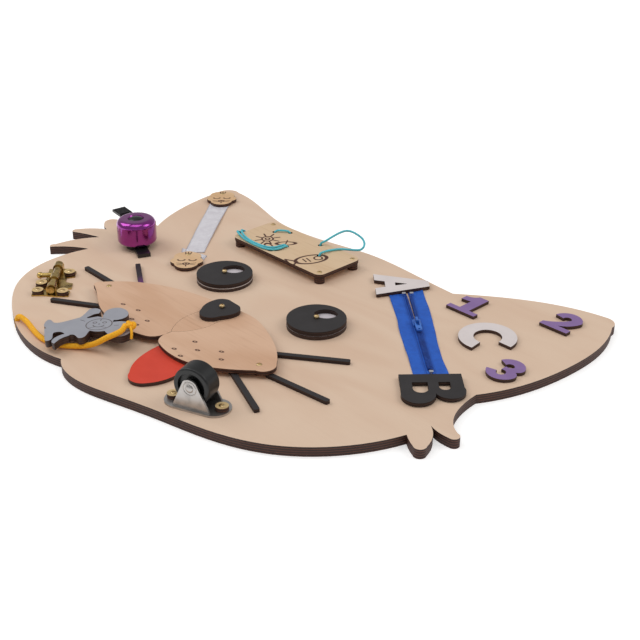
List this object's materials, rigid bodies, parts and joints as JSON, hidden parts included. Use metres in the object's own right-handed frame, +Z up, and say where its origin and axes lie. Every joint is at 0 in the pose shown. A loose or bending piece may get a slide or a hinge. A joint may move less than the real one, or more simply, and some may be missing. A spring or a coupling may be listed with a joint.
{
  "type": "wooden busy board",
  "caption": "Flat plywood activity board outlined like a cat's head, with turning eyes, a bolt, bell, caster wheel, zip, lacing plate and a tethered mouse.",
  "frame": {"origin": "on the board's underside, below the middle of its outline", "axes": "+Z up out of the face as the board lies flat; +Y towards the ears; +X to the viewer's right of the face"},
  "size_m": [0.5011, 0.3808, 0.042],
  "materials": {
    "plywood_board": "matte",
    "plywood_pad": "matte",
    "black_wood": "matte paint",
    "white_wood": "matte paint",
    "red_wood": "matte paint",
    "purple_wood": "matte paint",
    "grey_wood": "matte paint",
    "brass": "polished",
    "zinc": "satin",
    "screw_steel": "satin",
    "bell_purple": "anodised gloss",
    "black_plastic": "satin",
    "wheel_rubber": "matte",
    "zip_tape": "woven",
    "zip_teeth": "satin",
    "white_ribbon": "satin weave",
    "yellow_cord": "knitted",
    "blue_cord": "braided"
  },
  "bodies": {
    "board": {"badge_lower": "plywood_pad", "badge_upper": "plywood_pad", "bell_base": "black_plastic", "bell_cap": "black_plastic", "bell_dome": "bell_purple", "bell_pins": "zinc", "board_back": "plywood_board", "board_front": "plywood_board", "bolt_keeper": "brass", "bolt_plate": "brass", "bolt_washers": "plywood_pad", "caster_axle": "zinc", "caster_bracket": "zinc", "caster_washers": "plywood_pad", "eye_left_base": "black_wood", "eye_right_base": "black_wood", "lace_inner": "blue_cord", "lace_loop": "blue_cord", "lace_outer": "blue_cord", "lace_stitch": "blue_cord", "lacing_plate": "plywood_pad", "lacing_standoffs": "plywood_pad", "letter_a": "white_wood", "letter_b": "black_wood", "letter_c": "white_wood", "muzzle_left": "plywood_pad", "muzzle_middle": "plywood_pad", "muzzle_right": "plywood_pad", "muzzle_spacers": "plywood_pad", "number_1": "purple_wood", "number_2": "purple_wood", "number_3": "purple_wood", "ribbon": "white_ribbon", "screws": "screw_steel", "tether": "yellow_cord", "tongue_pin": "zinc", "whisker_left_lower": "black_wood", "whisker_left_middle": "black_wood", "whisker_left_upper": "black_wood", "whisker_right_lower": "black_wood", "whisker_right_middle": "black_wood", "whisker_right_upper": "black_wood", "zip_coil": "zip_teeth", "zip_stops": "zinc", "zip_tape_left": "zip_tape", "zip_tape_right": "zip_tape"},
    "eye_left": {"eye_left_top": "black_wood"},
    "eye_right": {"eye_right_top": "black_wood"},
    "nose_piece": {"nose": "black_wood"},
    "tongue_piece": {"tongue": "red_wood"},
    "thumb_lever": {"bell_lever": "black_plastic"},
    "bolt": {"bolt_rod": "brass"},
    "wheel": {"caster_wheel": "wheel_rubber"},
    "slider": {"zip_slider": "zinc"},
    "pull": {"zip_pull": "zinc"},
    "mouse": {"mouse_back": "grey_wood", "mouse_front": "grey_wood", "tether_end": "yellow_cord", "tether_knot": "yellow_cord"}
  },
  "joints": [
    {"name": "eye_left_turn", "type": "hinge", "parent": "board", "child": "eye_left", "pos_m": [-0.06, 0.0028, 0.0155], "axis": [0, 0, 1], "continuous": true},
    {"name": "eye_right_turn", "type": "hinge", "parent": "board", "child": "eye_right", "pos_m": [0.06, 0.0028, 0.0155], "axis": [0, 0, 1], "continuous": true},
    {"name": "nose_turn", "type": "hinge", "parent": "board", "child": "nose_piece", "pos_m": [-0.003, -0.0462, 0.017], "axis": [0, 0, 1], "continuous": true},
    {"name": "tongue_swing", "type": "hinge", "parent": "board", "child": "tongue_piece", "pos_m": [0.016, -0.0922, 0.0098], "axis": [0, 0, 1], "range_deg": [-30, 10]},
    {"name": "bell_thumb", "type": "hinge", "parent": "board", "child": "thumb_lever", "pos_m": [-0.18236, -0.00707, 0.01205], "axis": [0, 0, 1], "range_deg": [0, 18], "stiffness_Nm_per_rad": 0.05, "springref_deg": -2.86},
    {"name": "bolt_slide", "type": "slide", "parent": "board", "child": "bolt", "axis": [0.766, -0.6428, 0], "range_m": [-0.009, 0]},
    {"name": "caster_spin", "type": "hinge", "parent": "board", "child": "wheel", "pos_m": [0.0893, -0.1444, 0.0268], "axis": [-0.3584, 0.9336, 0], "continuous": true},
    {"name": "zip_slide", "type": "slide", "parent": "board", "child": "slider", "axis": [0.7716, -0.6361, 0], "range_m": [-0.042, 0.07]},
    {"name": "pull_swing", "type": "hinge", "parent": "slider", "child": "pull", "pos_m": [0.11724, 0.06291, 0.0128], "axis": [-0.6361, -0.7716, 0], "range_deg": [0, 110]},
    {"name": "mouse_lift", "type": "slide", "parent": "board", "child": "mouse", "axis": [0, 0, 1], "range_m": [0, 0.04]}
  ]
}
